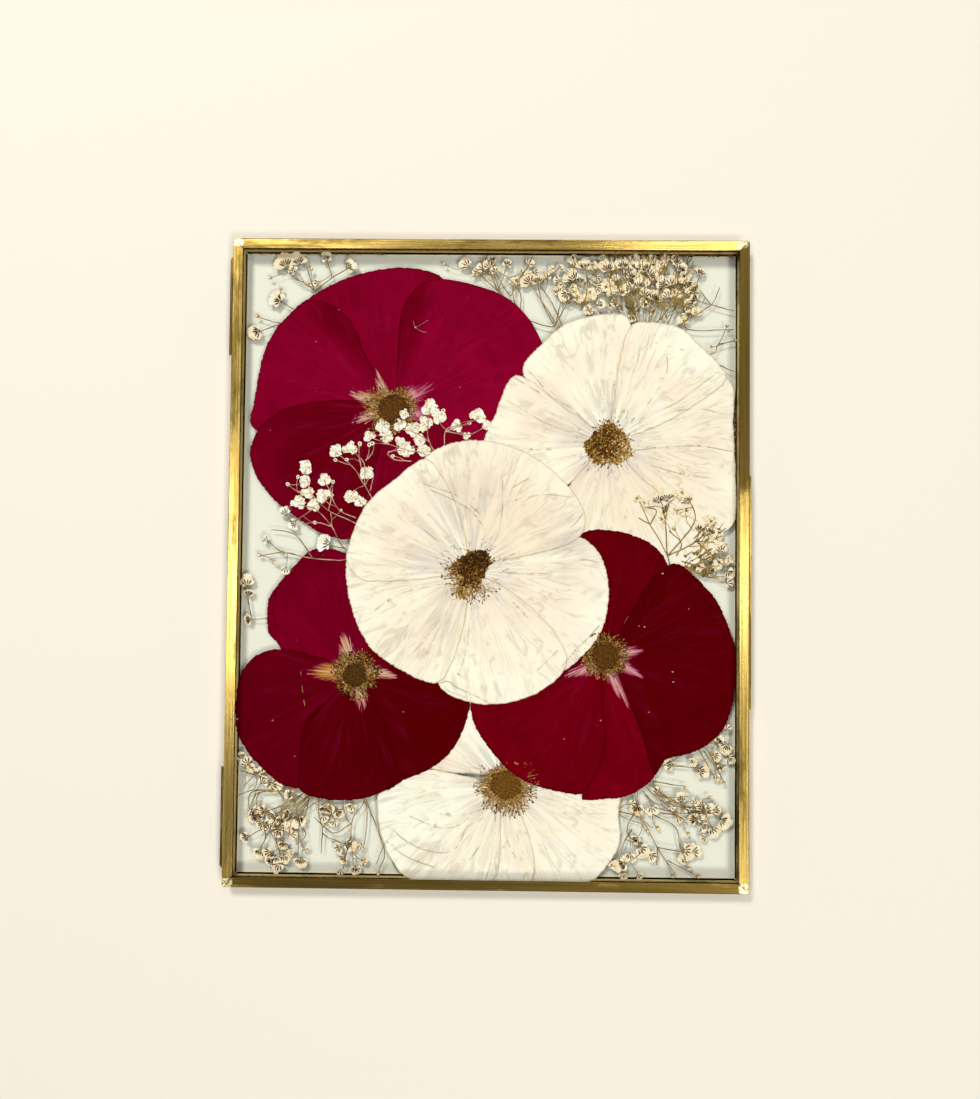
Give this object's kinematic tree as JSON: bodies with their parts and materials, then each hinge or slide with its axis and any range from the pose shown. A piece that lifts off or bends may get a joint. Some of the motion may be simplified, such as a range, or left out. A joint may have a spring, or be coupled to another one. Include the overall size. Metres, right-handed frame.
{
  "type": "pressed flower frame",
  "caption": "Hinged double-pane glass frame edged in brass channel, with a clasp strip, holding pressed roses and sprigs of baby's breath between its panes.",
  "frame": {"origin": "centre of the bounding box's bottom face, on the surface that the frame lies on", "axes": "+Z out of the front pane, +Y up the picture, +X to the right of the picture"},
  "size_m": [0.2098, 0.257, 0.0076],
  "materials": {
    "brass": "brushed, lightly tarnished",
    "glass": "clear, polished",
    "red_petal": "dried petal, matte, darker where petals overlap",
    "white_petal": "dried petal, matte, fine veins",
    "stamens": "dry, fibrous",
    "sprig": "dried florets on khaki stems"
  },
  "bodies": {
    "back_leaf": {"back_bottom_rail": "brass", "back_left_rail": "brass", "back_pane": "glass", "back_right_rail": "brass", "back_top_rail": "brass", "bottom_left_sprig": "sprig", "bottom_right_sprig": "sprig", "bottom_white_rose_bottom_petal": "white_petal", "bottom_white_rose_eye": "stamens", "bottom_white_rose_left_petal": "white_petal", "bottom_white_rose_right_petal": "white_petal", "bottom_white_rose_top_petal": "white_petal", "clasp_stud": "brass", "left_red_rose_bottom_petal": "red_petal", "left_red_rose_eye": "stamens", "left_red_rose_hidden_petal": "red_petal", "left_red_rose_left_petal": "red_petal", "left_red_rose_right_petal": "red_petal", "left_red_rose_top_petal": "red_petal", "left_sprig": "sprig", "lower_hinge_fixed_half": "brass", "middle_left_sprig": "sprig", "middle_white_rose_bottom_petal": "white_petal", "middle_white_rose_eye": "stamens", "middle_white_rose_lower_left_petal": "white_petal", "middle_white_rose_right_petal": "white_petal", "middle_white_rose_top_petal": "white_petal", "middle_white_rose_upper_left_petal": "white_petal", "right_red_rose_bottom_left_petal": "red_petal", "right_red_rose_bottom_petal": "red_petal", "right_red_rose_eye": "stamens", "right_red_rose_hidden_petal": "red_petal", "right_red_rose_right_petal": "red_petal", "right_red_rose_top_petal": "red_petal", "right_sprig": "sprig", "top_left_sprig": "sprig", "top_middle_sprig": "sprig", "top_red_rose_bottom_petal": "red_petal", "top_red_rose_eye": "stamens", "top_red_rose_lower_left_petal": "red_petal", "top_red_rose_right_petal": "red_petal", "top_red_rose_top_petal": "red_petal", "top_red_rose_upper_left_petal": "red_petal", "top_right_sprig": "sprig", "top_white_rose_bottom_petal": "white_petal", "top_white_rose_eye": "stamens", "top_white_rose_left_petal": "white_petal", "top_white_rose_right_petal": "white_petal", "top_white_rose_upper_left_petal": "white_petal", "top_white_rose_upper_right_petal": "white_petal", "upper_hinge_fixed_half": "brass", "upper_middle_sprig": "sprig"},
    "front_leaf": {"clasp_strip": "brass", "front_bottom_rail": "brass", "front_left_rail": "brass", "front_pane": "glass", "front_right_rail": "brass", "front_top_rail": "brass", "lower_hinge_moving_half": "brass", "upper_hinge_moving_half": "brass"}
  },
  "joints": [
    {"name": "leaf_hinge", "type": "hinge", "parent": "back_leaf", "child": "front_leaf", "pos_m": [-0.1041, 0, 0.0038], "axis": [0, -1, 0], "range_deg": [0, 180]}
  ]
}
